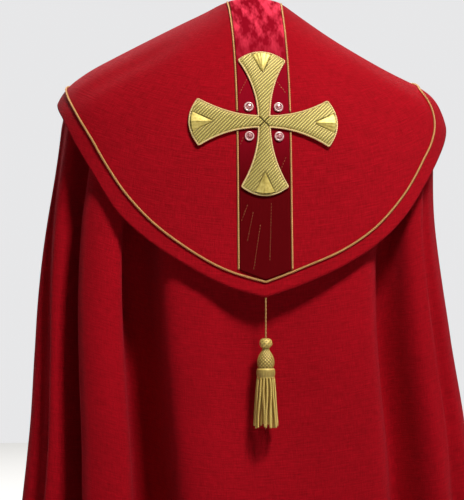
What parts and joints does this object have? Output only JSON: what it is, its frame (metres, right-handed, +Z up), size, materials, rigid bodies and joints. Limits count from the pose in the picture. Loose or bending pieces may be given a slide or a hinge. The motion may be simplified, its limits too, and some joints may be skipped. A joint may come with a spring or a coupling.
{
  "type": "cope vestment",
  "caption": "Semicircular red cloth cloak worn open at the front, with a deep pointed hood, velvet strip, goldwork cross and tassel.",
  "frame": {"origin": "the middle of the neck opening, level with its sides, where the wearer's shoulders carry the garment", "axes": "+Z up; the wearer faces -Y, so the hood hangs on +Y; +X is the wearer's left"},
  "size_m": [0.8192, 0.4708, 1.4404],
  "materials": {
    "red_cloth": "plain woven wool with slubs",
    "velvet": "crushed velvet",
    "gold_thread": "couched metal thread",
    "gold_shine": "smooth shiny gold",
    "gold_cord": "twisted cord",
    "stone": "faceted stone in a beaded mount",
    "brass": "plain"
  },
  "bodies": {
    "root": {"cope_body": "red_cloth", "hood": "red_cloth", "velvet_strip": "velvet", "strip_cord_left_upper": "gold_cord", "strip_cord_left_lower": "gold_cord", "strip_cord_right_upper": "gold_cord", "strip_cord_right_lower": "gold_cord", "hood_edge_cord": "gold_cord", "cross_arm_top": "gold_thread", "cross_wedge_top": "gold_shine", "cross_cord_top": "gold_cord", "cross_arm_left": "gold_thread", "cross_wedge_left": "gold_shine", "cross_cord_left": "gold_cord", "cross_arm_bottom": "gold_thread", "cross_wedge_bottom": "gold_shine", "cross_cord_bottom": "gold_cord", "cross_arm_right": "gold_thread", "cross_wedge_right": "gold_shine", "cross_cord_right": "gold_cord", "stone_upper_left": "stone", "stone_lower_left": "stone", "stone_upper_right": "stone", "stone_lower_right": "stone", "tassel_cord": "gold_cord", "tassel_knob": "gold_thread", "tassel_bulb": "gold_thread", "tassel_collar": "gold_thread", "tassel_skirt": "gold_thread", "morse_band": "red_cloth", "morse_hook": "brass", "morse_eye": "brass"}
  },
  "joints": []
}
